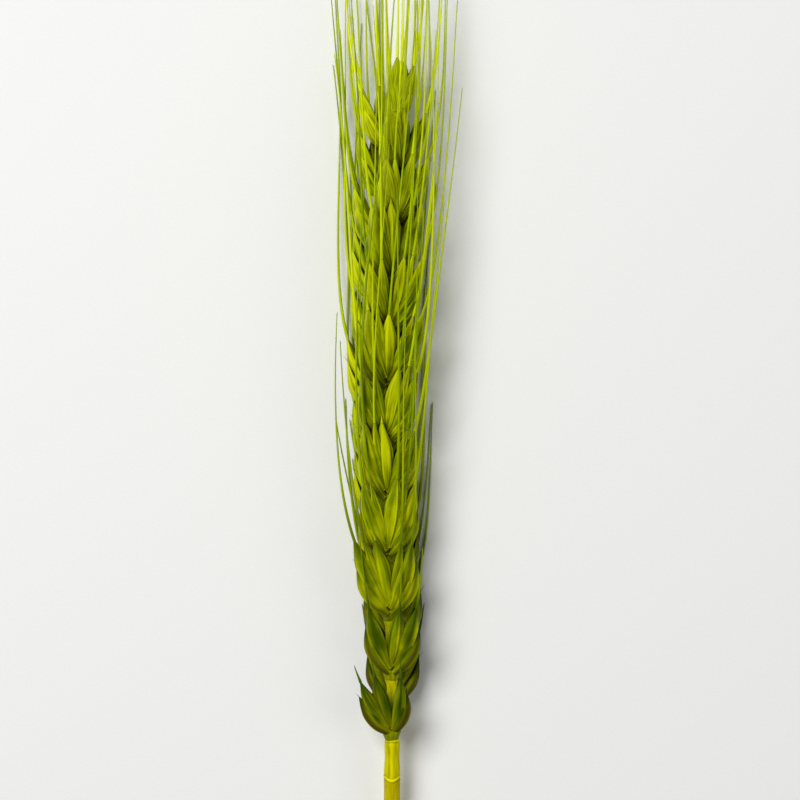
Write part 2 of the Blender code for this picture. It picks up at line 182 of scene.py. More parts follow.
def spikelet_frame(index):
    """Foot of a spikelet and its side, up and out directions."""
    rng = random.Random(SEED + index)
    y = node_height(index)
    rank = 1 if index % 2 == 0 else -1
    turn = float(twist_at(y))
    lean = math.radians(rng.uniform(*LEAN_DEGREES))
    roll = math.radians(rng.uniform(*ROLL_DEGREES))
    last = index == SPIKELETS - 1
    if index == 0:
        roll = LOWEST_ROLL
    if last:
        turn += math.pi / 2
        lean = 0.0
        roll = LAST_ROLL
    out = np.array((rank * math.sin(turn), 0.0, rank * math.cos(turn)))
    up = np.array((0.0, 1.0, 0.0))
    side = np.cross(up, out)
    foot = up * (y + FOOT_ABOVE_NODE) + out * FOOT_OUT
    if last:
        foot = up * (y + LAST_ABOVE_NODE) - side * LAST_SHIFT
    up, out = up * math.cos(lean) + out * math.sin(lean), out * math.cos(lean) - up * math.sin(lean)
    side, up = side * math.cos(roll) + up * math.sin(roll), up * math.cos(roll) - side * math.sin(roll)
    return foot, np.array((side, up, out))


def spikelet_husks(index):
    """The husks of one spikelet, each with the side that it grows on and its own small changes."""
    rng = random.Random(SEED * 7 + index)
    lean_side = 1 if (index // 2) % 2 else -1
    plan = ((GLUME, -1), (GLUME, 1), (OUTER_LEMMA, -1), (OUTER_LEMMA, 1), (MIDDLE_LEMMA, lean_side))
    spread = LAST_CLOSED if index == SPIKELETS - 1 else 1.0
    husks = []
    for husk, hand in plan:
        size = spikelet_size(index) * MM * rng.uniform(0.95, 1.04)
        lift = UPPER_LIFT if husk is OUTER_LEMMA and hand == lean_side else 0.0
        husks.append((husk, hand * spread, size, lift, rng.uniform(-TIP_STRAY, TIP_STRAY)))
    return husks


def upper_husks(index):
    """The husks of the two upper florets, which fill the fan between its middle and outer lemmas."""
    if index < FIRST_UPPER_FLORETS:
        return []
    rng = random.Random(SEED * 307 + index)
    spread = LAST_CLOSED if index == SPIKELETS - 1 else 1.0
    husks = []
    for hand in (-1, 1):
        size = spikelet_size(index) * MM * rng.uniform(0.92, 1.02)
        husks.append((UPPER_LEMMA, hand * spread, size, 0.0, rng.uniform(-TIP_STRAY, TIP_STRAY)))
    return husks


def outline(t):
    """Width of a husk along its length, as a share of its widest place."""
    return (0.27 + 2.55 * t) * (1 - t) ** 0.8 / 0.895


def husk_line(entry, frame, t):
    """Middle line of a husk at the places t, with its forward, keel and margin directions."""
    husk, hand, size, lift, drift = entry
    foot, axes = frame
    spread = np.array((hand, 1.0, 1.0))
    base, belly, tip = (np.array(p) * spread * size for p in (husk.base, husk.belly, husk.tip))
    tip = tip + np.array((drift, 0.0, drift))
    t = np.asarray(t, float)[:, None]
    local = (1 - t) ** 2 * base + 2 * t * (1 - t) * belly + t**2 * tip
    local[:, 1] += lift
    forward = 2 * (1 - t) * (belly - base) + 2 * t * (tip - belly)
    points = foot + local @ axes
    forward = forward @ axes
    forward /= np.linalg.norm(forward, axis=1)[:, None]
    turn = math.radians(husk.keel_turn) * hand
    keel = np.array((math.sin(turn), 0.0, math.cos(turn))) @ axes
    keel = keel - forward * (forward @ keel)[:, None]
    keel /= np.linalg.norm(keel, axis=1)[:, None]
    return points, forward, keel, np.cross(forward, keel)


def husk_surface(entry, frame, t, folds):
    """Outer side of a husk: rows along its length, each from margin over keel to margin."""
    husk, size = entry[0], entry[2]
    points, forward, keel, margin = husk_line(entry, frame, t)
    width = outline(np.asarray(t, float))[:, None, None]
    folds = np.asarray(folds, float)[None, :, None]
    across = np.sin(HALF_FOLD * folds) * husk.half_width * size * width
    along_keel = (1 - KEEL_SLOPE * abs(folds) - SIDE_CURVE * folds**2) * husk.depth * size * width
    return points[:, None] + across * margin[:, None] + along_keel * keel[:, None]


def awn_length(index, start_y, rng):
    """The lowest spikelets only have awn points, and the rest reach past the ear's tip."""
    if index < 3:
        return (3 + 4 * index) * MM * rng.uniform(0.7, 1.0)
    full = min(LONGEST_AWN, AWN_REACH - start_y) * min(1.0, 0.45 + 0.11 * (index - 2))
    return full * rng.uniform(0.86, 1.0)


def awn_path(start, heading, length, attempt, rng):
    """A bristle that leaves the husk's tip and soon runs nearly along the ear.

    Each further attempt may spread, stray and bend a little more than the one before it.
    """
    radial = np.array((start[0], 0.0, start[2]))
    radial /= np.linalg.norm(radial)
    across = np.cross((0.0, 1.0, 0.0), radial)
    spread = math.tan(math.radians(rng.uniform(*AWN_SPREAD_DEGREES) + 0.02 * attempt))
    stray = math.tan(math.radians(rng.gauss(0, AWN_STRAY_DEGREES + 0.03 * attempt)))
    goal = np.array((0.0, 1.0, 0.0)) + radial * spread + across * stray
    curl = radial * rng.uniform(-AWN_CURL, AWN_CURL) + across * rng.gauss(0, AWN_SWERVE)
    settling = (rng.uniform(*AWN_SETTLING) + 0.04 * attempt) * MM
    step = length / AWN_STEPS
    path = [np.array(start)]
    for i in range(AWN_STEPS):
        run = (i + 0.5) * step
        blend = math.exp(-run / settling)
        way = heading * blend + goal * (1 - blend) + curl * run
        path.append(path[-1] + way / np.linalg.norm(way) * step)
    return np.array(path)


def awn_radii():
    """Taper of a bristle from the husk's tip to its own tip."""
    share = np.linspace(0, 1, AWN_STEPS + 1)
    return AWN_RADIUS + (AWN_TIP_RADIUS - AWN_RADIUS) * share**0.8


def pressed_up(path, radii):
    """Bend a bristle that would dip under the surface so that it runs along it."""
    height = axis_offset(path[:, 1])[1]
    floor = radii + SURFACE_CLEARANCE - height
    lift = np.maximum(floor - path[:, 2], 0)
    bent = np.array(path)
    bent[:, 2] += lift
    bent[:, 0] += np.sign(path[:, 0]) * 0.7 * lift
    return bent


def resampled(path, steps):
    """The first steps of a bristle, spread over as many points as the whole one had."""
    places = np.linspace(0, steps, len(path))
    return np.stack([np.interp(places, range(len(path)), path[:, i]) for i in range(3)], axis=1)


def husk_cloud(index):
    """Points all over the outer sides of one spikelet's husks, for measuring the room beside them."""
    frame = spikelet_frame(index)
    along = np.linspace(0, 1, 18)
    folds = np.linspace(-1, 1, 13)
    rows = [husk_surface(entry, frame, along, folds).reshape(-1, 3) for entry in spikelet_husks(index)]
    points = np.concatenate(rows)
    tree = KDTree(len(points))
    for i, point in enumerate(points):
        tree.insert(point, i)
    tree.balance()
    return tree


def free_steps(path, radii, clouds, bristles):
    """How many steps of a bristle are clear of what is already there, counted from its root."""
    room = np.array([min(cloud.find(point)[2] for cloud in clouds) for point in path]) - radii
    if bristles is not None:
        apart = np.linalg.norm(path[:, None] - bristles[None, :, :3], axis=2)
        room = np.minimum(room, (apart - radii[:, None] - bristles[None, :, 3]).min(axis=1))
    blocked = np.flatnonzero(room < AWN_CLEARANCE)
    return int(blocked[0]) if len(blocked) else len(path)


def awn_exit(index, entry):
    """Where a bristle leaves its husk, and its heading there."""
    points, forward = husk_line(entry, spikelet_frame(index), (AWN_START,))[:2]
    return points[0], forward[0]


def place_awn(index, slot, entry, clouds, bristles):
    """The first drawn bristle that is clear of all other spikelets, or the clear part of the best."""
    rng = random.Random(SEED * 101 + index * 5 + slot)
    start, heading = awn_exit(index, entry)
    return clear_awn(start, heading, awn_length(index, start[1], rng), rng, clouds, bristles)


def clear_awn(start, heading, length, rng, clouds, bristles):
    """Draw a bristle from its root until it is clear of what is already there."""
    radii = awn_radii()
    most, chosen = -1, None
    for attempt in range(AWN_TRIES):
        path = pressed_up(awn_path(start, heading, length, attempt, rng), radii)
        free = free_steps(path, radii, clouds, bristles)
        if free > most:
            most, chosen = free, path
        if free == len(path):
            return path
    return resampled(chosen, max(most - 2, SHORTEST_AWN_STEPS))


def plan_awns():
    """Every bristle's path by spikelet and husk. A stretch ahead of each husk is kept for its own."""
    clouds = [husk_cloud(index) for index in range(SPIKELETS)]
    awned = [
        (index, slot, entry)
        for index in range(SPIKELETS)
        for slot, entry in enumerate(spikelet_husks(index))
        if entry[0].awned
    ]
    taken = {}
    for index, slot, entry in awned:
        start, heading = awn_exit(index, entry)
        run = np.linspace(0, KEPT_FREE, 8)[:, None]
        taken[index, slot] = np.c_[start + heading * run, np.full(8, AWN_RADIUS)]
    paths = {}
    for index, slot, entry in awned:
        others = [cloud for i, cloud in enumerate(clouds) if i != index]
        bristles = np.concatenate([line for key, line in taken.items() if key[0] != index])
        paths[index, slot] = place_awn(index, slot, entry, others, bristles)
        taken[index, slot] = np.c_[paths[index, slot], awn_radii()]
    add_upper_awns(paths, clouds)
    return paths


def add_upper_awns(paths, clouds):
    """Finer bristles of the upper florets. They may touch others, as real ones do."""
    for index in range(SPIKELETS):
        others = [cloud for i, cloud in enumerate(clouds) if i != index]
        for slot, entry in enumerate(upper_husks(index)):
            rng = random.Random(SEED * 211 + index * 2 + slot)
            start, heading = awn_exit(index, entry)
            length = awn_length(index, start[1], rng) * rng.uniform(*UPPER_AWN_SHARE)
            paths[index, UPPER_AWN_SLOT + slot] = clear_awn(start, heading, length, rng, others, None)


# From the straight layout onto the surface


def ear_origin():
    """Where the lowest node of the straight ear comes to lie. The straw's box gives it."""
    low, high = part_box("straw")
    return np.array(((low.x + high.x) / 2, low.y + FIRST_STRETCH + STRAW_LENGTH, 0.0))


EAR_ORIGIN = ear_origin()


def settle(piece):
    """Bow a piece made round the straight axis, set it over the surface and press it flat there."""
    mesh = piece.data
    flat = np.empty(len(mesh.vertices) * 3, np.float32)
    mesh.vertices.foreach_get("co", flat)
    points = flat.reshape(-1, 3).astype(float)
    bow, height = axis_offset(points[:, 1])
    points[:, 0] += bow
    points[:, 2] = np.maximum(points[:, 2] + height, 0.0)
    points += EAR_ORIGIN
    mesh.vertices.foreach_set("co", points.astype(np.float32).ravel())
    mesh.update()
    return piece


# Helpers for node trees, materials and meshes


def add(tree, kind, inputs=None, **settings):
    """Add a node with its settings. Its inputs are given values, or links from other nodes."""
    made = tree.nodes.new(kind)
    for name, value in settings.items():
        setattr(made, name, value)
    for name, value in (inputs or {}).items():
        if isinstance(value, bpy.types.NodeSocket):
            tree.links.new(value, made.inputs[name])
        else:
            made.inputs[name].default_value = value
    return made


def combined(tree, held, *factors):
    """The product of several values.

    A factor is a number, a link, the name of a held value, or a tuple of such a name with the range
    that the value is eased over and what it becomes at either end, which is 0 and 1 if not given.
    """
    product = None
    for factor in factors:
        if isinstance(factor, tuple):
            label, low, high, *ends = factor
            start, end = ends or (0.0, 1.0)
            factor = add(tree, "ShaderNodeMapRange", {
                "Value": held[label], "From Min": low, "From Max": high, "To Min": start, "To Max": end,
            }, interpolation_type="SMOOTHSTEP").outputs["Result"]
        elif isinstance(factor, str):
            factor = held[factor]
        if product is None:
            product = factor
        else:
            product = add(tree, "ShaderNodeMath", {0: product, 1: factor}, operation="MULTIPLY").outputs[0]
    return product


def placed(name, data):
    """A new object in the scene."""
    piece = bpy.data.objects.new(name, data)
    bpy.context.scene.collection.objects.link(piece)
    return piece


def hold(mesh, attributes):
    """Give a mesh named values, one number or one direction for every point."""
    for label, values in attributes.items():
        values = np.asarray(values, np.float32)
        kind, field = ("FLOAT_VECTOR", "vector") if values.ndim == 2 else ("FLOAT", "value")
        mesh.attributes.new(label, kind, "POINT").data.foreach_set(field, values.ravel())


def line_mesh(name, lines, attributes):
    """Open lines of points as a mesh of edges, with named values at every point."""
    mesh = bpy.data.meshes.new(name)
    edges = []
    first = 0
    for line in lines:
        edges += [(first + i, first + i + 1) for i in range(len(line) - 1)]
        first += len(line)
    mesh.from_pydata(np.concatenate(lines).tolist(), edges, [])
    hold(mesh, attributes)
    return placed(name, mesh)


def lofted(name, rings, attributes, turn=None):
    """A closed skin over rings of equal size.

    With a turn given, the skin ends before that ring and starts again at it, inside itself, and its
    last ring meets its first one.
    """
    count, sides = rings.shape[:2]
    faces = []
    for ring in range(count - 1):
        if ring + 1 == turn:
            continue
        a = ring * sides
        for i in range(sides):
            j = (i + 1) % sides
            faces.append((a + i, a + j, a + sides + j, a + sides + i))
    for ring in (turn - 1, turn) if turn else (0, count - 1):
        faces.append(tuple(range(ring * sides, (ring + 1) * sides)))
    mesh = bpy.data.meshes.new(name)
    mesh.from_pydata(rings.reshape(-1, 3).tolist(), [], faces)
    hold(mesh, {label: np.ravel(values) for label, values in attributes.items()})
    shape = bmesh.new()
    shape.from_mesh(mesh)
    if turn:
        bmesh.ops.remove_doubles(shape, verts=shape.verts, dist=0.001 * MM)
    bmesh.ops.recalc_face_normals(shape, faces=shape.faces)
    shape.to_mesh(mesh)
    shape.free()
    return placed(name, mesh)


def joined(parts, name):
    """Several plain meshes with the same named values as one."""
    whole = bmesh.new()
    for part in parts:
        whole.from_mesh(part.data)
    mesh = parts[0].data
    bmesh.ops.recalc_face_normals(whole, faces=whole.faces)
    whole.to_mesh(mesh)
    whole.free()
    for part in parts[1:]:
        bpy.data.objects.remove(part)
    parts[0].name = name
    mesh.name = name
    return parts[0]


def new_tree(name, sockets):
    """A Geometry Nodes tree with named inputs, and its input and output nodes."""
    tree = bpy.data.node_groups.new(name, "GeometryNodeTree")
    for label, kind in (("Geometry", "Geometry"), *sockets.items(), ("Material", "Material")):
        tree.interface.new_socket(label, in_out="INPUT", socket_type="NodeSocket" + kind)
    tree.interface.new_socket("Geometry", in_out="OUTPUT", socket_type="NodeSocketGeometry")
    return tree, tree.nodes.new("NodeGroupInput"), tree.nodes.new("NodeGroupOutput")


def end_tree(tree, given, result, shape):
    """Make a tree's result plain geometry in the material that it is given."""
    real = add(tree, "GeometryNodeRealizeInstances", {"Geometry": shape.outputs[0]})
    dressed = add(tree, "GeometryNodeSetMaterial", {
        "Geometry": real.outputs[0], "Material": given.outputs["Material"],
    })
    tree.links.new(dressed.outputs[0], result.inputs[0])
    return tree


def grown(carrier, tree, settings, name):
    """Run a tree on its carrier and keep the result as a plain mesh of its own."""
    modifier = carrier.modifiers.new(tree.name, "NODES")
    modifier.node_group = tree
    sockets = {item.name: item.identifier for item in tree.interface.items_tree if item.in_out == "INPUT"}
    for label, value in settings.items():
        modifier[sockets[label]] = value
    graph = bpy.context.evaluated_depsgraph_get()
    mesh = bpy.data.meshes.new_from_object(
        carrier.evaluated_get(graph), preserve_all_data_layers=True, depsgraph=graph
    )
    carrier.modifiers.remove(modifier)
    bpy.data.objects.remove(carrier)
    mesh.name = name
    return placed(name, mesh)


def finished(piece, node):
    """Round shading, what the piece rides on, and the part that it stands for, which is hidden."""
    piece.data.shade_smooth()
    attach(piece, "root")
    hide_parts(node)


# Husks

HUSK_STEPS = 34
HALF_SECTION = 24
FOLD_CROWDING = 1.25
KEEL_ROUNDING = 0.02
KEEL_RIB = 0.075
KEEL_RIB_WIDTH = 0.05
MARGIN_FLARE = 0.05
MARGIN_WIDTH = 0.09
BACK_STEPS = 25
BACK_REACH = 0.97
TIP_START = 0.62
TIP_SLIMMING = 0.34
FOOT_FULLNESS = 0.20
FOOT_REACH = 0.05
BEAK = (0.7 * MM, 1.7 * MM)
BEAK_STEPS = 6
BEAK_BEND = 0.38
BEAK_WIDTH = (0.45, 0.05)
GLUME_NERVES = 7.0
LEMMA_NERVES = 5.0
NERVE_RELIEF = 0.042
WOBBLE = 0.22 * MM
WOBBLE_SCALE = 340.0
CALLUS_LENGTH = 1.7 * MM
CALLUS_DROP = 0.34 * MM
CALLUS_OUT = (0.62 * MM, 1.25 * MM)
CALLUS_HALF_WIDTH = 1.0 * MM
CALLUS_HALF_DEPTH = 0.58 * MM
CALLUS_FLARE = ((0.0, 0.15, 0.35, 0.55, 0.70, 0.85, 1.0), (0.96, 1.04, 1.18, 1.32, 1.34, 1.15, 0.50))
CALLUS_RINGS = 12
CALLUS_SIDES = 28
CALLUS_RIBS = 9
CALLUS_ALONG = (0.17, 0.24)
CALLUS_PALER = 0.14


def husk_section(kind):
    """A closed half-round line in the XY plane that a husk's shell is swept with.

    The outer side runs from one margin over the keel to the other. The inner side of a glume is
    hollow, and that of a lemma is closed by the palea, which has two keels of its own.
    """
    steps = np.linspace(-1, 1, 2 * HALF_SECTION + 1)
    folds = np.sign(steps) * abs(steps) ** FOLD_CROWDING
    ridge = np.sqrt(folds**2 + KEEL_ROUNDING**2) - KEEL_ROUNDING
    rib = KEEL_RIB * np.exp(-((folds / KEEL_RIB_WIDTH) ** 2))
    flare = 1 + MARGIN_FLARE * np.exp(-(((abs(folds) - 1) / MARGIN_WIDTH) ** 2))
    outer = np.c_[np.sin(HALF_FOLD * folds) * flare, 1 - KEEL_SLOPE * ridge - SIDE_CURVE * folds**2 + rib]
    back = np.linspace(BACK_REACH, -BACK_REACH, BACK_STEPS)
    depth = -0.42 + 0.22 * (1 - back**2)
    if kind == "lemma":
        depth = -0.52 - 0.10 * np.exp(-(((abs(back) - 0.5) / 0.13) ** 2)) + 0.06 * back**2
    shape = np.concatenate((outer, np.c_[np.sin(HALF_FOLD) * back, depth]))
    points = np.c_[shape, np.zeros(len(shape))]
    carrier = line_mesh(f"{kind}_section", [points], {
        "section": points,
        "across": np.concatenate((folds, back)),
        "inside": np.concatenate((np.zeros(len(folds)), np.ones(len(back)))),
    })
    carrier.data.edges.add(1)
    carrier.data.edges[-1].vertices = (len(points) - 1, 0)
    return carrier


def husk_tree():
    """Sweeps a section along each husk's middle line, and raises the nerves on its outer side."""
    tree, given, result = new_tree("Husk shells", {
        "Section": "Object", "Nerves": "Float", "Nerve relief": "Float", "Wobble": "Float",
        "Wobble scale": "Float",
    })
    held = {}
    for kind, labels in (
        ("FLOAT", ("across", "inside", "fade", "half_width", "depth")),
        ("FLOAT_VECTOR", ("section", "spine", "margin", "keel")),
    ):
        for label in labels:
            named = add(tree, "GeometryNodeInputNamedAttribute", {"Name": label}, data_type=kind)
            held[label] = named.outputs[0]
    rails = add(tree, "GeometryNodeMeshToCurve", {"Mesh": given.outputs["Geometry"]})
    source = add(tree, "GeometryNodeObjectInfo", {"Object": given.outputs["Section"]})
    section = add(tree, "GeometryNodeMeshToCurve", {"Mesh": source.outputs["Geometry"]})
    shell = add(tree, "GeometryNodeCurveToMesh", {
        "Curve": rails.outputs[0], "Profile Curve": section.outputs[0], "Fill Caps": True,
    })
    angle = combined(tree, held, "across", given.outputs["Nerves"], math.pi)
    waves = add(tree, "ShaderNodeMath", {0: angle}, operation="COSINE").outputs[0]
    outside = add(tree, "ShaderNodeMath", {0: 1.0, 1: held["inside"]}, operation="SUBTRACT").outputs[0]
    raised = combined(tree, held, waves, "fade", given.outputs["Nerve relief"], outside)
    swell = add(tree, "ShaderNodeMath", {0: raised, 1: 1.0}, operation="ADD").outputs[0]
    place = add(tree, "ShaderNodeSeparateXYZ", {"Vector": held["section"]})
    sideways = combined(tree, held, place.outputs["X"], "half_width", swell)
    outwards = combined(tree, held, place.outputs["Y"], "depth", swell)
    smooth = held["spine"]
    for label, reach in (("margin", sideways), ("keel", outwards)):
        step = add(tree, "ShaderNodeVectorMath", {0: held[label], "Scale": reach}, operation="SCALE")
        total = add(tree, "ShaderNodeVectorMath", {0: smooth, 1: step.outputs[0]}, operation="ADD")
        smooth = total.outputs[0]
    noise = add(tree, "ShaderNodeTexNoise", {
        "Vector": smooth, "Scale": given.outputs["Wobble scale"], "Detail": 2.0,
    })
    centred = add(tree, "ShaderNodeVectorMath", {
        0: noise.outputs["Color"], 1: (0.5, 0.5, 0.5),
    }, operation="SUBTRACT")
    shake = add(tree, "ShaderNodeVectorMath", {
        0: centred.outputs[0], "Scale": combined(tree, held, given.outputs["Wobble"], "fade"),
    }, operation="SCALE")
    final = add(tree, "ShaderNodeVectorMath", {0: smooth, 1: shake.outputs[0]}, operation="ADD")
    moved = add(tree, "GeometryNodeSetPosition", {
        "Geometry": shell.outputs[0], "Position": final.outputs[0],
    })
    return end_tree(tree, given, result, moved)


def husk_rail(entry, frame, rng):
    """Points along one husk's middle line, with what its shell needs at each of them."""
    husk, hand, size = entry[:3]
    t = AWN_START * (0.5 - 0.5 * np.cos(math.pi * np.linspace(0, 1, HUSK_STEPS) ** 0.9))
    points, forward, keel, margin = husk_line(entry, frame, t)
    slim = np.clip((t - TIP_START) / (1 - TIP_START), 0, 1)
    width = outline(t) * (1 - TIP_SLIMMING * slim * slim * (3 - 2 * slim))
    width = width + FOOT_FULLNESS * np.exp(-t / FOOT_REACH)
    if not husk.awned:
        run = np.linspace(0, 1, BEAK_STEPS + 1)[1:, None]
        reach = run * rng.uniform(*BEAK)
        beak = points[-1] + forward[-1] * reach + keel[-1] * BEAK_BEND * reach * run
        points = np.concatenate((points, beak))
        taper = BEAK_WIDTH[0] + (BEAK_WIDTH[1] - BEAK_WIDTH[0]) * run[:, 0]
        width = np.concatenate((width, width[-1] * taper))
        keel = np.concatenate((keel, np.repeat(keel[-1:], BEAK_STEPS, axis=0)))
        margin = np.concatenate((margin, np.repeat(margin[-1:], BEAK_STEPS, axis=0)))
        t = np.concatenate((t, np.linspace(0.975, 1.0, BEAK_STEPS)))
    to_middle = -np.sign(hand) * frame[1][0]
    count = len(t)
    return {
        "spine": points,
        "keel": keel,
        "margin": margin,
        "half_width": width * husk.half_width * size,
        "depth": width * husk.depth * size,
        "along": t,
        "fade": np.sin(math.pi * np.clip(t, 0, 1)) ** 0.6,
        "inward": np.full(count, 1.0 if margin[len(margin) // 2] @ to_middle > 0 else -1.0),
        "tone": np.full(count, rng.random()),
        "height": np.full(count, np.clip(points[0, 1] / EAR_LENGTH, 0, 1)),
        "is_glume": np.full(count, 0.0 if husk.awned else 1.0),
    }


def build_husks(index, tree, sections, material):
    """All husks of one spikelet as one piece."""
    rng = random.Random(SEED * 13 + index)
    layout = spikelet_frame(index)
    name = f"spikelet_{index + 1:02d}"
    parts = []
    for kind, nerves in (("glume", GLUME_NERVES), ("lemma", LEMMA_NERVES)):
        rails = [
            husk_rail(entry, layout, rng)
            for entry in spikelet_husks(index) + upper_husks(index)
            if entry[0].awned == (kind == "lemma")
        ]
        values = {label: np.concatenate([rail[label] for rail in rails]) for label in rails[0]}
        carrier = line_mesh(f"{name}_{kind}_lines", [rail["spine"] for rail in rails], values)
        parts.append(grown(carrier, tree, {
            "Section": sections[kind],
            "Nerves": nerves,
            "Nerve relief": NERVE_RELIEF,
            "Wobble": WOBBLE,
            "Wobble scale": WOBBLE_SCALE,
            "Material": material,
        }, f"{name}_{kind}s"))
    parts.append(build_callus(index, rng.random()))
    return joined(parts, f"{name}_husks")


def build_callus(index, tone):
    """The short stout foot that joins a spikelet to the ledge of the rachis."""
    foot, axes = spikelet_frame(index)
    last = index == SPIKELETS - 1
    low = np.array((0.0, node_height(index) - CALLUS_DROP, 0.0))
    out = np.array((axes[2][0], 0.0, axes[2][2]))
    out = out / np.linalg.norm(out) * (0.0 if last else 1.0)
    slim = 1.0 - RACHIS_SLIMMING * index / (SPIKELETS - 1)
    angles = np.linspace(0, 2 * math.pi, CALLUS_SIDES, endpoint=False)
    ribs = np.cos(CALLUS_RIBS * angles)
    rings = []
    for share in np.linspace(0, 1, CALLUS_RINGS):
        middle = low + out * (CALLUS_OUT[0] + (CALLUS_OUT[1] - CALLUS_OUT[0]) * share) * slim
        middle = middle + np.array((0.0, CALLUS_LENGTH * share, 0.0))
        if last:
            middle = middle + (foot - low) * np.array((1.0, 0.0, 1.0)) * share
        swell = np.interp(share, *CALLUS_FLARE)
        across = CALLUS_HALF_WIDTH * slim * swell * (1 + 0.03 * ribs) * np.cos(angles)
        depth = CALLUS_HALF_DEPTH * swell * np.sin(angles)
        rings.append(middle + across[:, None] * axes[0] + depth[:, None] * axes[2])
    count = CALLUS_RINGS * CALLUS_SIDES
    values = {
        "across": np.tile(0.42 + 0.10 * ribs, CALLUS_RINGS),
        "along": np.repeat(np.linspace(*CALLUS_ALONG, CALLUS_RINGS), CALLUS_SIDES),
        "inside": np.zeros(count),
        "inward": np.ones(count),
        "tone": np.full(count, tone),
        "height": np.full(count, node_height(index) / EAR_LENGTH + CALLUS_PALER),
        "is_glume": np.zeros(count),
    }
    return lofted(f"spikelet_{index + 1:02d}_callus", np.array(rings), values)


# Bristles

BRISTLE_STEP = 0.7 * MM
BRISTLE_SIDES = 6
BRISTLE_FINENESS = (0.74, 1.0)
UPPER_FINENESS = (0.56, 0.88)
BARB_SPACING = 0.42 * MM
BARB_LENGTH = 0.26 * MM
BARB_RADIUS = 0.045 * MM
BARB_LIFT = math.radians(17)


def bristle_tree():
    """A tapering bristle along each line, with small barbs that point to its tip."""
    tree, given, result = new_tree("Barbed bristles", {
        "Step": "Float", "Sides": "Int", "Barb spacing": "Float", "Barb length": "Float",
        "Barb radius": "Float", "Barb lift": "Float", "Seed": "Int",
    })
    lines = add(tree, "GeometryNodeMeshToCurve", {"Mesh": given.outputs["Geometry"]})
    smooth = add(tree, "GeometryNodeCurveSplineType", {
        "Curve": lines.outputs[0],
    }, spline_type="CATMULL_ROM")
    curve = add(tree, "GeometryNodeResampleCurve", {
        "Curve": smooth.outputs[0], "Length": given.outputs["Step"],
    }, mode="LENGTH")
    named = add(tree, "GeometryNodeInputNamedAttribute", {"Name": "thickness"}, data_type="FLOAT")
    thickness = named.outputs[0]
    sized = add(tree, "GeometryNodeSetCurveRadius", {"Curve": curve.outputs[0], "Radius": thickness})
    ring = add(tree, "GeometryNodeCurvePrimitiveCircle", {
        "Resolution": given.outputs["Sides"], "Radius": 1.0,
    })
    stalk = add(tree, "GeometryNodeCurveToMesh", {
        "Curve": sized.outputs[0], "Profile Curve": ring.outputs[0], "Scale": thickness, "Fill Caps": True,
    })
    points = add(tree, "GeometryNodeCurveToPoints", {
        "Curve": curve.outputs[0], "Length": given.outputs["Barb spacing"],
    }, mode="LENGTH")
    around = add(tree, "FunctionNodeRandomValue", {
        "Min": 0.0, "Max": 2 * math.pi, "Seed": given.outputs["Seed"],
    }, data_type="FLOAT")
    facing = points.outputs["Rotation"]
    for axis, angle in (("Z", around.outputs["Value"]), ("X", given.outputs["Barb lift"])):
        spin = add(tree, "ShaderNodeCombineXYZ", {axis: angle})
        turned = add(tree, "FunctionNodeRotateRotation", {
            "Rotation": facing, "Rotate By": spin.outputs[0],
        }, rotation_space="LOCAL")
        facing = turned.outputs[0]
    cone = add(tree, "GeometryNodeMeshCone", {
        "Vertices": 3, "Radius Top": 0.0, "Radius Bottom": given.outputs["Barb radius"],
        "Depth": given.outputs["Barb length"],
    })
    barbs = add(tree, "GeometryNodeInstanceOnPoints", {
        "Points": points.outputs["Points"], "Instance": cone.outputs["Mesh"], "Rotation": facing,
    })
    shift = add(tree, "ShaderNodeCombineXYZ", {"Y": combined(tree, {}, thickness, -0.8)})
    moved = add(tree, "GeometryNodeTranslateInstances", {
        "Instances": barbs.outputs[0], "Translation": shift.outputs[0], "Local Space": True,
    })
    both = add(tree, "GeometryNodeJoinGeometry", {0: stalk.outputs[0]})
    tree.links.new(moved.outputs[0], both.inputs[0])
    return end_tree(tree, given, result, both)


def build_bristles(index, paths, tree, material):
    """The bristles of one spikelet as one piece."""
    rng = random.Random(SEED * 17 + index)
    name = f"spikelet_{index + 1:02d}_bristles"
    radii = awn_radii()
    steps = len(radii)
    ranges = [UPPER_FINENESS if slot >= UPPER_AWN_SLOT else BRISTLE_FINENESS for slot in paths]
    fineness = [rng.uniform(*bounds) for bounds in ranges]
    paths = list(paths.values())
    carrier = line_mesh(name + "_lines", paths, {
        "thickness": np.concatenate([radii * share for share in fineness]),
        "along": np.tile(np.linspace(0, 1, steps), len(paths)),
        "tone": np.repeat([rng.random() for _ in paths], steps),
        "height": np.full(steps * len(paths), node_height(index) / EAR_LENGTH),
    })
    return grown(carrier, tree, {
        "Step": BRISTLE_STEP,
        "Sides": BRISTLE_SIDES,
        "Barb spacing": BARB_SPACING,
        "Barb length": BARB_LENGTH,
        "Barb radius": BARB_RADIUS,
        "Barb lift": BARB_LIFT,
        "Seed": index,
        "Material": material,
    }, name)


# Straw and rachis

STRAW_SIDES = 96
STRAW_RIBS = 14
STRAW_RIB_RELIEF = 0.004
STRAW_WAVER = 0.004
CUT_EDGE = 0.06 * MM
COLLAR_DIP = 0.75 * MM
COLLAR_THICKNESS = 0.54
RACHIS_SIDES = 64
STRETCH_RELIEF = 0.045
FOOT_SUNK = 1.7 * MM
FOOT_IN_COLLAR = (1.02 * MM, 0.98 * MM, 0.98 * MM)
FOOT_AT_COLLAR = (1.17 * MM, 1.03 * MM, 1.03 * MM)
NODE_RING = 0.55 * MM
NODE_RING_HEIGHT = 0.115 * MM


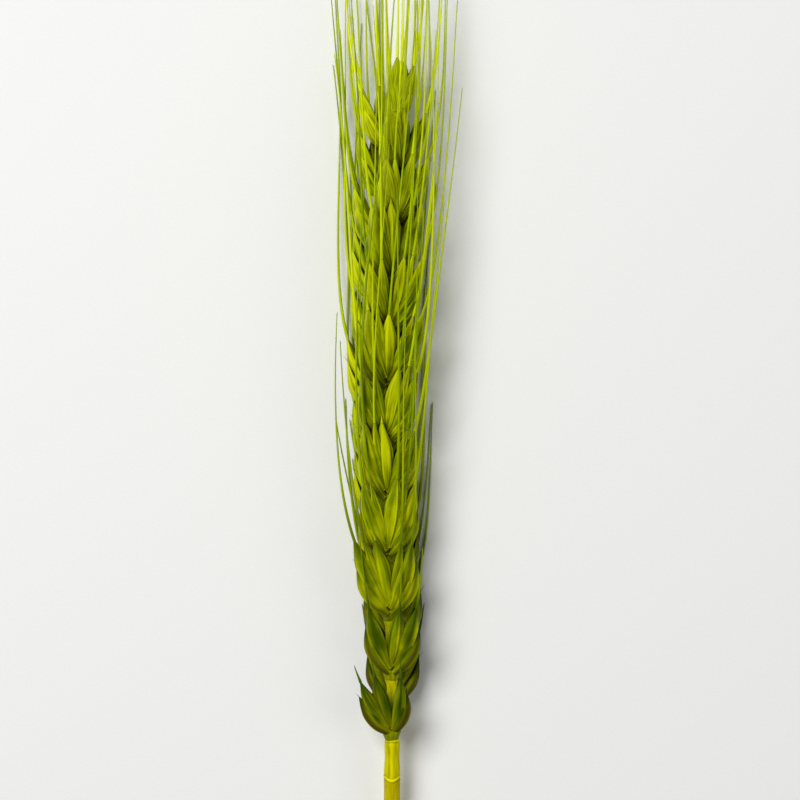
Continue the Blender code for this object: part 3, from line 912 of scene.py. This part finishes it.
def build_straw(material):
    """The hollow straw with fine ribs, a clean cut below and a collar that dips at front and back."""
    top = -FIRST_STRETCH
    bottom = top - STRAW_LENGTH
    angles = np.linspace(0, 2 * math.pi, STRAW_SIDES, endpoint=False)
    ribs = 1 + STRAW_RIB_RELIEF * np.cos(STRAW_RIBS * angles)
    dip = abs(np.sin(angles)) ** 2.2 * COLLAR_DIP

    # Each row is a ring's place, its radius, whether it is ribbed and its share of the collar's dip
    rows = [(bottom + CUT_EDGE, STRAW_RADIUS - CUT_EDGE, True, 0)]
    for y in np.linspace(bottom + 2 * CUT_EDGE, top - 4 * STRAW_RIM, 60):
        rows.append((y, STRAW_RADIUS * (1 + STRAW_WAVER * math.sin(y / MM * 1.7)), True, 0))
    rows += [
        (top - 2.6 * STRAW_RIM, STRAW_RADIUS * 1.005, True, 0.3),
        (top - 1.5 * STRAW_RIM, STRAW_RADIUS * 1.01, True, 0.8),
        (top - 1.25 * STRAW_RIM, STRAW_RADIUS * 0.985, False, 0.95),
        (top - 1.05 * STRAW_RIM, STRAW_RADIUS * 1.02, False, 1),
    ]
    collar = len(rows)
    stout = 0.5 + 0.5 * np.sin(angles) ** 2
    lip = STRAW_TOP_RADIUS * (1 - 0.05 * np.cos(angles) ** 2)
    for lean in np.radians(np.linspace(-60, 60, 7)):
        across = lip + (STRAW_RIM_RADIUS - STRAW_TOP_RADIUS) * math.cos(lean) * stout
        place = top + STRAW_RIM * (COLLAR_THICKNESS * math.sin(lean) * stout - 0.50)
        rows.append((place, across, False, 1))
    collar_end = len(rows)
    rows += [
        (top - 0.16 * STRAW_RIM, STRAW_TOP_RADIUS * 0.94, False, 1),
        (top - 0.8 * STRAW_RIM, STRAW_TOP_RADIUS * 0.86, False, 1),
        (top - 1.6 * STRAW_RIM, STRAW_TOP_RADIUS * 0.5, False, 0.6),
        (top - 1.8 * STRAW_RIM, 0.2 * MM, False, 0),
    ]
    bore = len(rows)
    rows.append((top - STRAW_CLOSED_TOP, 0.1 * MM, False, 0))
    for y in np.linspace(top - STRAW_CLOSED_TOP, bottom + CUT_EDGE, 20):
        rows.append((y, STRAW_BORE, False, 0))
    rows.append((bottom, STRAW_BORE + CUT_EDGE, False, 0))
    rows.append((bottom, STRAW_RADIUS - 2 * CUT_EDGE, True, 0))
    rows.append(rows[0])

    rings = []
    for y, radius, ribbed, dipping in rows:
        size = radius * (ribs if ribbed else 1.0)
        place = y - dip * dipping
        rings.append(np.c_[size * np.cos(angles), place, size * np.sin(angles)])
    inside = np.zeros((len(rows), STRAW_SIDES))
    inside[bore:] = 1.0
    inside[-2] = 0.5
    inside[-1] = 0.0
    # rim holds painted shade for the groove under the collar and a painted highlight on the collar,
    # strongest at front and back
    rim = np.zeros((len(rows), STRAW_SIDES))
    rim[collar - 3:collar - 1] = -1.0
    rim[collar:collar_end] = 0.35 + 0.65 * np.sin(angles) ** 2
    piece = lofted("straw_skin", np.array(rings), {"inside": inside, "rim": rim}, turn=bore)
    piece.data.materials.append(material)
    return piece


def rachis_rings():
    """Sections of the rachis from its foot to its top: place along the ear, then the section."""
    rings = [
        (-FIRST_STRETCH - FOOT_SUNK, *FOOT_IN_COLLAR),
        (-FIRST_STRETCH - 0.3 * FOOT_SUNK, *FOOT_AT_COLLAR),
        (GAP - FIRST_STRETCH, *RACHIS_FOOT),
        (-0.55 * FIRST_STRETCH, *RACHIS_WAIST),
        (-0.18 * FIRST_STRETCH, *RACHIS_SHOULDER),
    ]
    for index in range(SPIKELETS - 1):
        y = node_height(index)
        rise = node_height(index + 1) - y
        slim = 1.0 - RACHIS_SLIMMING * index / (SPIKELETS - 1)
        places = (y - LEDGE_DROP, y + GAP, y + 0.65 * rise)
        for place, (half_width, away, towards) in zip(places, (LEDGE, BEHIND_FOOT, BELOW_NEXT)):
            back, front = (away, towards) if index % 2 == 0 else (towards, away)
            rings.append((place, half_width * slim, back, front))
    rings.append((node_height(SPIKELETS - 1) - LEDGE_DROP, *RACHIS_TOP))
    return rings


def stretch_relief(y, angles):
    """Heights on the first stretch: a rib between two grooves on either face, and a ring at its top."""
    share = float(np.clip(-(y + NODE_RING) / (5 * NODE_RING_HEIGHT), 0, 1))
    off_middle = 90 - np.degrees(np.arcsin(abs(np.sin(angles))))
    wander = 3 * math.sin(y / MM * 1.3)
    rib = 0.8 * np.exp(-(((off_middle + wander) / 10) ** 2))
    groove = 0.8 * np.exp(-(((off_middle - 24 + wander) / 8) ** 2))
    ring = math.exp(-(((y + NODE_RING) / NODE_RING_HEIGHT) ** 2))
    neck = math.exp(-(((y + NODE_RING + 2.2 * NODE_RING_HEIGHT) / NODE_RING_HEIGHT) ** 2))
    return (rib - groove) * share + ring - neck


def build_rachis(material):
    """The zigzag axis with rounded edges, ridges on its first stretch and thin ledges."""
    corners = np.array(rachis_rings())
    steps = []
    for low, high in zip(corners[:-1], corners[1:]):
        count = 8 if high[0] - low[0] > 0.6 * MM else 3
        if low[0] < 0:
            count = math.ceil((high[0] - low[0]) / (0.35 * NODE_RING_HEIGHT + 0.02 * MM))
        for share in np.linspace(0, 1, count, endpoint=False):
            row = low + (high - low) * share * share * (3 - 2 * share)
            row[0] = low[0] + (high[0] - low[0]) * share
            steps.append(row)
    steps.append(corners[-1])
    angles = np.linspace(0, 2 * math.pi, RACHIS_SIDES, endpoint=False)
    rings = []
    reliefs = []
    for y, half_width, back, front in steps:
        turn = float(twist_at(y))
        out = np.array((math.sin(turn), 0.0, math.cos(turn)))
        side = np.array((math.cos(turn), 0.0, -math.sin(turn)))
        reliefs.append(stretch_relief(y, angles))
        swell = 1 + STRETCH_RELIEF * reliefs[-1]
        across = half_width * np.cos(angles) * swell
        depth = (front - back) / 2 + 1.06 * (front + back) / 2 * np.sin(angles) * swell
        rings.append(np.array((0.0, y, 0.0)) + across[:, None] * side + depth[:, None] * out)
    height = np.repeat([np.clip(row[0] / EAR_LENGTH, 0, 1) for row in steps], RACHIS_SIDES)
    piece = lofted("rachis_axis", np.array(rings), {"height": height, "relief": reliefs})
    piece.data.materials.append(material)
    return piece


# Materials

STREAK_WIDTH = 0.20 * MM
STREAK_LENGTH = 5 * MM
HUSK_GIRTH = 3.6 * MM
HUSK_RUN = 11 * MM
PATCHES_PER_METRE = 260.0
CLOUDS_PER_METRE = 220.0
# Painted shade in crevices: how far the occlusion looks for neighbours, and how it darkens the colour
CREVICE_SHADE_REACH = 2.2 * MM
CREVICE_SHADE = ("crevice_shade", 0.80, 0.28, 0.0)

# Each row lays a colour, or a run between two colours, over those before it. What follows the colour
# says where it shows, as factors of combined()
HUSK_COLOURS = (
    # Tissue brighter up the ear, partly its own colour and partly painted light that falls stronger
    # towards the tip, some husks warmer, darker and lit patches, an olive foot that is partly painted
    # shade from the husks around it, and broad pale streaks
    ("#9BAF03", ("height", 0.45, 1.0)),
    ("#A7A202", ("tone", 0.35, 1.0, 0.0, 0.45)),
    ("#566E02", ("patches", 0.50, 0.64, 0.0, 0.65)),
    ("#CFD602", ("patches", 0.49, 0.34, 0.0, 0.90), ("height", 0.02, 0.12),
     ("height", 0.45, 0.75, 1.0, 0.35)),
    ("#6F6C02", ("along", 0.42, 0.02, 0.0, 0.75)),
    ("#AEBA04", ("broad", 0.48, 0.64, 0.0, 0.80), ("height", 0.0, 0.2, 0.45, 1.0)),
    # Husks that are already dry and bright
    ("#DEE20A", ("chance", 0.50, 0.85), ("along", 0.15, 0.60), ("height", 0.06, 0.20, 0.10, 0.95),
     ("height", 0.45, 0.80, 1.0, 0.45)),
    # Pale streaks, which up the ear turn into painted highlights
    (("#CBD706", "#E8F020", ("height", 0.55, 0.95)), ("streaks", 0.48, 0.64, 0.0, 0.60), "raised"),
    # Brown flank of the lower glumes, partly its own colour and partly painted shade on that side, and the
    # dark green band along the keel's inner side
    ("#453C01", ("facing", 0.32, -0.12), ("height", 0.40, 0.0, 0.0, 0.95), ("is_glume", 0.0, 1.0, 0.5, 1.0)),
    ("#1F3C00", ("facing", -0.05, 0.30), ("facing", 1.05, 0.50, 0.40, 1.0), ("along", 0.10, 0.55),
     ("broad", 0.66, 0.40, 0.45, 1.0), ("height", 0.45, 0.05, 0.25, 0.95)),
    # Green streaks, green between the nerves, a painted highlight along the keel, and pale dry margins that
    # also carry a painted highlight
    ("#4A6200", ("streaks", 0.50, 0.34, 0.0, 0.50), "raised"),
    ("#475C01", ("waves", -0.1, -1.0, 0.0, 0.45), "raised", ("height", 0.55, 0.85, 1.0, 0.45),
     ("broad", 0.40, 0.60, 1.0, 0.25)),
    ("#C8D408", ("from_keel", 0.09, 0.01), ("along", 0.05, 0.3, 0.0, 0.8), "raised"),
    ("#CFDA0C", ("from_keel", 0.80, 0.98), ("broad", 0.36, 0.58, 0.15, 0.85), "raised"),
    # Dark tips low on the ear, and pale ones high up that are partly a painted highlight
    ("#244200", ("along", 0.60, 0.95), ("height", 0.40, 0.08, 0.0, 0.92)),
    ("#D6E010", ("along", 0.66, 0.98), ("height", 0.3, 0.7, 0.0, 0.7)),
    # The paler inner side, and painted shade in deep green where neighbours crowd the tissue
    (("#7C8A04", "#BECA0C", ("streaks", 0.40, 0.62)), "inside"),
    ("#162000", (*CREVICE_SHADE, 0.95)),
)
AWN_COLOURS = (
    ("#E2F00A", ("tone", 0.4, 0.9)),
    ("#D8E60C", ("streaks", 0.45, 0.65, 0.0, 0.4)),
    # Painted highlight: awns lighter high up the ear, towards its tip
    ("#F0FA1C", ("height", 0.66, 0.90, 0.0, 0.65)),
    ("#B2C638", ("along", 0.55, 1.0, 0.0, 0.5)),
    ("#748C02", ("height", 0.60, 0.20, 0.0, 0.62)),
    ("#304C01", ("along", 0.35, 0.0), ("height", 0.35, 0.08, 0.0, 0.9)),
    ("#3C5A02", ("height", 0.14, 0.05, 0.0, 0.85)),
)
# Painted shade in the groove under the collar, a painted highlight along the collar that is strongest at
# front and back, and the pith
STRAW_COLOURS = (
    ("#857A00", ("rim", 0.0, -1.0, 0.0, 0.45)),
    ("#EEE60C", ("rim", 0.0, 1.0)),
    ("#D8D2A0", "inside"),
)
# Painted highlight on the ribs and top ring of the first stretch and painted shade in its grooves and under
# the ring, greener tissue up the ear, and painted shade where husks crowd it
RACHIS_COLOURS = (
    ("#F0E80C", ("relief", 0.1, 1.0, 0.0, 0.45)),
    ("#756A00", ("relief", -0.1, -1.0, 0.0, 0.40)),
    ("#8A9802", ("height", 0.08, 0.25, 0.0, 0.8)),
    (("#8C8200", "#2E3A00", ("height", 0.05, 0.2)), (*CREVICE_SHADE, 0.7)),
)


def paint(code):
    """Linear colour of an sRGB hex value."""
    parts = [int(code[i:i + 2], 16) / 255 for i in (1, 3, 5)]
    linear = [c / 12.92 if c <= 0.04045 else ((c + 0.055) / 1.055) ** 2.4 for c in parts]
    return (*linear, 1.0)


def tinted(tree, held, body, colour, *where):
    """A colour laid over the body's. It may itself be a run between two colours."""
    base = paint(body) if isinstance(body, str) else body
    layer = paint(colour) if isinstance(colour, str) else tinted(tree, held, *colour)
    mixed = add(tree, "ShaderNodeMix", {
        "Factor": combined(tree, held, *where), "A": base, "B": layer,
    }, data_type="RGBA")
    return mixed.outputs["Result"]


def new_material(name, *labels, crevice_shaded=False):
    """A material's shader and tree, with the values that the mesh holds under the names given.

    Where neighbours crowd the tissue, painted shade darkens it, for which how open it lies is held too.
    """
    material = bpy.data.materials.new(name)
    material.use_nodes = True
    tree = material.node_tree
    held = {label: add(tree, "ShaderNodeAttribute", attribute_name=label).outputs["Fac"] for label in labels}
    held["place"] = add(tree, "ShaderNodeTexCoord").outputs["Object"]
    # Painted shade: ambient occlusion darkens the colour where neighbours crowd the tissue
    if crevice_shaded:
        crevice_shade = add(tree, "ShaderNodeAmbientOcclusion", {"Distance": CREVICE_SHADE_REACH}, samples=6)
        held["crevice_shade"] = crevice_shade.outputs["AO"]
    return material, tree, tree.nodes["Principled BSDF"], held


def finish_tissue(tree, shader, held, body, rows, glow, gloss):
    """Paint the rows over the body. Thin tissue lets light through and has a dull waxy shine."""
    for colour, *where in rows:
        body = tinted(tree, held, body, colour, *where)
    tree.links.new(body, shader.inputs["Base Color"])
    shader.inputs["Subsurface Weight"].default_value = glow
    shader.inputs["Subsurface Radius"].default_value = (0.9, 1.0, 0.05)
    shader.inputs["Subsurface Scale"].default_value = 0.3 * MM
    shader.inputs["Specular IOR Level"].default_value = gloss
    shader.inputs["Specular Tint"].default_value = paint("#F0F640")


def grain(tree, shader, held, label, roughness, strength, depth):
    """Roughness and fine relief that follow a held pattern."""
    tree.links.new(combined(tree, held, (label, 0.3, 0.7, *roughness)), shader.inputs["Roughness"])
    bump = add(tree, "ShaderNodeBump", {"Height": held[label], "Strength": strength, "Distance": depth})
    tree.links.new(bump.outputs[0], shader.inputs["Normal"])


def husk_material():
    """Living husk tissue, thin, faintly waxy and matt. Nerves run lengthwise, a dark green band
    lies along the keel's inner side, and the margins are pale and dry, with a painted highlight
    along them and along the keel."""
    material, tree, shader, held = new_material(
        "husk_tissue", "across", "along", "height", "tone", "inward", "inside", "is_glume", crevice_shaded=True
    )
    streak_place = add(tree, "ShaderNodeCombineXYZ", {
        "X": combined(tree, held, "across", HUSK_GIRTH / STREAK_WIDTH / 2),
        "Y": combined(tree, held, "along", HUSK_RUN / STREAK_LENGTH),
        "Z": combined(tree, held, "tone", 37.0),
    }).outputs[0]
    broad_place = add(tree, "ShaderNodeVectorMath", {0: streak_place, "Scale": 0.30}, operation="SCALE")
    held["streaks"] = add(tree, "ShaderNodeTexNoise", {
        "Vector": streak_place, "Scale": 1.0, "Detail": 2.0, "Roughness": 0.5,
    }).outputs["Fac"]
    held["broad"] = add(tree, "ShaderNodeTexNoise", {
        "Vector": broad_place.outputs[0], "Scale": 1.0, "Detail": 1.0,
    }).outputs["Fac"]
    held["patches"] = add(tree, "ShaderNodeTexNoise", {
        "Vector": held["place"], "Scale": PATCHES_PER_METRE, "Detail": 2.0,
    }).outputs["Fac"]
    nerve_count = ("is_glume", 0.0, 1.0, LEMMA_NERVES, GLUME_NERVES)
    for label, operation, inputs in (
        ("from_keel", "ABSOLUTE", {0: held["across"]}),
        ("chance", "FRACT", {0: combined(tree, held, "tone", 7.3)}),
        ("waves", "COSINE", {0: combined(tree, held, "across", nerve_count, math.pi)}),
        ("facing", "SUBTRACT", {
            0: combined(tree, held, "across", "inward"), 1: combined(tree, held, "is_glume", 0.30),
        }),
    ):
        held[label] = add(tree, "ShaderNodeMath", inputs, operation=operation).outputs[0]
    held["raised"] = combined(tree, held, ("height", 0.02, 0.35, 0.15, 1.0))
    # Darker low on the ear: partly the tissue's own colour, partly painted light that is stronger towards
    # the tip
    body = tinted(tree, held, "#727A02", "#92A202", ("height", 0.0, 0.22))
    finish_tissue(tree, shader, held, body, HUSK_COLOURS, 0.10, 0.16)
    grain(tree, shader, held, "streaks", (0.34, 0.52), 0.6, 0.06 * MM)
    return material


def bristle_material():
    """Awn tissue: glassy, stiff and brighter than the husk, with a green root and a pale dry tip.
    Its streaks are 0.25 mm wide and 6 mm long, coarser than real ones, which would not show."""
    material, tree, shader, held = new_material("awn_tissue", "along", "tone", "height")
    stretched = add(tree, "ShaderNodeMapping", {"Vector": held["place"], "Scale": (4000.0, 160.0, 4000.0)})
    held["streaks"] = add(tree, "ShaderNodeTexNoise", {
        "Vector": stretched.outputs[0], "Scale": 1.0,
    }).outputs["Fac"]
    body = tinted(tree, held, "#7C9603", "#B4C804", ("tone", 0.0, 0.45))
    finish_tissue(tree, shader, held, body, AWN_COLOURS, 0.08, 0.12)
    shader.inputs["Roughness"].default_value = 0.40
    return material


def stalk_material(made, codes, rows, spacing):
    """Smooth stalk tissue with faint lengthwise fibres, in a dark, a middle and a light colour."""
    material, tree, shader, held = made
    dark, middle, light = codes
    fine = add(tree, "ShaderNodeMapping", {
        "Vector": held["place"], "Scale": (1 / spacing, 0.02 / spacing, 1 / spacing),
    })
    held["fibres"] = add(tree, "ShaderNodeTexNoise", {
        "Vector": fine.outputs[0], "Scale": 1.0, "Detail": 2.0, "Roughness": 0.45,
    }).outputs["Fac"]
    held["clouds"] = add(tree, "ShaderNodeTexNoise", {
        "Vector": held["place"], "Scale": CLOUDS_PER_METRE, "Detail": 2.0,
    }).outputs["Fac"]
    body = tinted(tree, held, dark, middle, ("fibres", 0.36, 0.52, 0.35, 1.0))
    fibrous = ((light, ("fibres", 0.54, 0.74, 0.0, 0.7)), (dark, ("clouds", 0.48, 0.74, 0.0, 0.22)))
    finish_tissue(tree, shader, held, body, fibrous + rows, 0.12, 0.20)
    grain(tree, shader, held, "fibres", (0.48, 0.36), 0.22, 0.05 * MM)
    return material


def straw_material():
    """Ripening straw: smooth and yellow with fine lengthwise fibres, and pale pith in its cut end."""
    made = new_material("straw_skin", "rim", "inside")
    return stalk_material(made, ("#A69901", "#BEB000", "#D2C606"), STRAW_COLOURS, 0.22 * MM)


def rachis_material():
    """Rachis tissue: lemon yellow and fibrous, and greener up the ear."""
    made = new_material("rachis_tissue", "relief", "height", crevice_shaded=True)
    return stalk_material(made, ("#ABA401", "#CEC602", "#E6E008"), RACHIS_COLOURS, 0.30 * MM)


def floor_material():
    """Matt pale paper. Its grain is drawn finer than the render can show."""
    material, tree, shader, held = new_material("pale_paper")
    held["grain"] = add(tree, "ShaderNodeTexNoise", {
        "Vector": held["place"], "Scale": 4000.0, "Detail": 1.0,
    }).outputs["Fac"]
    body = tinted(tree, held, "#F0F0EE", "#F3F3F1", ("grain", 0.3, 0.7))
    tree.links.new(body, shader.inputs["Base Color"])
    shader.inputs["Roughness"].default_value = 0.85
    shader.inputs["Specular IOR Level"].default_value = 0.2
    return material


# Floor, light and camera

MM_PER_PIXEL = 0.1477
PHOTO_SIDE = 800
BASE_PIXEL = (392, 737)
CAMERA_HEIGHT = 750 * MM
SENSOR_WIDTH = 36
FLOOR_REACH = 1.5
FLOOR_DROP = 0.02 * MM
LAMP_SIZE = 0.45
LAMPS = {"key": ((-0.33, 0.30, 0.70), 6.3), "fill": ((0.50, -0.05, 0.50), 0.7)}
SKY_STRENGTH = 0.17


def build_floor():
    """A plain pale floor."""
    mesh = bpy.data.meshes.new("floor")
    ways = ((-1, -1), (1, -1), (1, 1), (-1, 1))
    mesh.from_pydata([(x * FLOOR_REACH, y * FLOOR_REACH, -FLOOR_DROP) for x, y in ways], [], [(0, 1, 2, 3)])
    mesh.materials.append(floor_material())
    placed("floor", mesh)


def build_light():
    """Soft daylight from the upper left with a weaker fill from the right, and a pale sky."""
    for name, (place, power) in LAMPS.items():
        lamp = bpy.data.lights.new(name, "AREA")
        lamp.shape = "SQUARE"
        lamp.size = LAMP_SIZE
        lamp.energy = power
        light = placed(name, lamp)
        light.location = place
        light.rotation_euler = (-Vector(place)).to_track_quat("-Z", "Y").to_euler()
    world = bpy.data.worlds.new("studio")
    world.use_nodes = True
    sky = world.node_tree.nodes["Background"]
    sky.inputs["Color"].default_value = (1, 1, 1, 1)
    sky.inputs["Strength"].default_value = SKY_STRENGTH
    bpy.context.scene.world = world
    bpy.context.scene.view_settings.view_transform = "Standard"


def build_camera():
    """Looks straight down on the ear, with the photograph's scale and framing."""
    lens = bpy.data.cameras.new("camera")
    camera = placed("camera", lens)
    pixel = MM_PER_PIXEL * MM
    across = (PHOTO_SIDE / 2 - BASE_PIXEL[0]) * pixel
    up = (BASE_PIXEL[1] - PHOTO_SIDE / 2) * pixel
    camera.location = (EAR_ORIGIN[0] + across, EAR_ORIGIN[1] + up, CAMERA_HEIGHT)
    lens.sensor_width = SENSOR_WIDTH
    lens.lens = SENSOR_WIDTH * (CAMERA_HEIGHT - AXIS_HEIGHT) / (PHOTO_SIDE * pixel)
    bpy.context.scene.camera = camera


def build_ear():
    """All pieces of the ear."""
    tissue = husk_material()
    bristle = bristle_material()
    shells = husk_tree()
    barbed = bristle_tree()
    sections = {kind: husk_section(kind) for kind in ("glume", "lemma")}
    awns = plan_awns()
    for index in range(SPIKELETS):
        node = f"spikelet_{index + 1:02d}"
        finished(settle(build_husks(index, shells, sections, tissue)), node)
        paths = {key[1]: path for key, path in sorted(awns.items()) if key[0] == index}
        finished(settle(build_bristles(index, paths, barbed, bristle)), node)
    for section in sections.values():
        bpy.data.objects.remove(section)
    finished(settle(build_straw(straw_material())), "straw")
    finished(settle(build_rachis(rachis_material())), "rachis")


build_ear()
build_floor()
build_light()
build_camera()
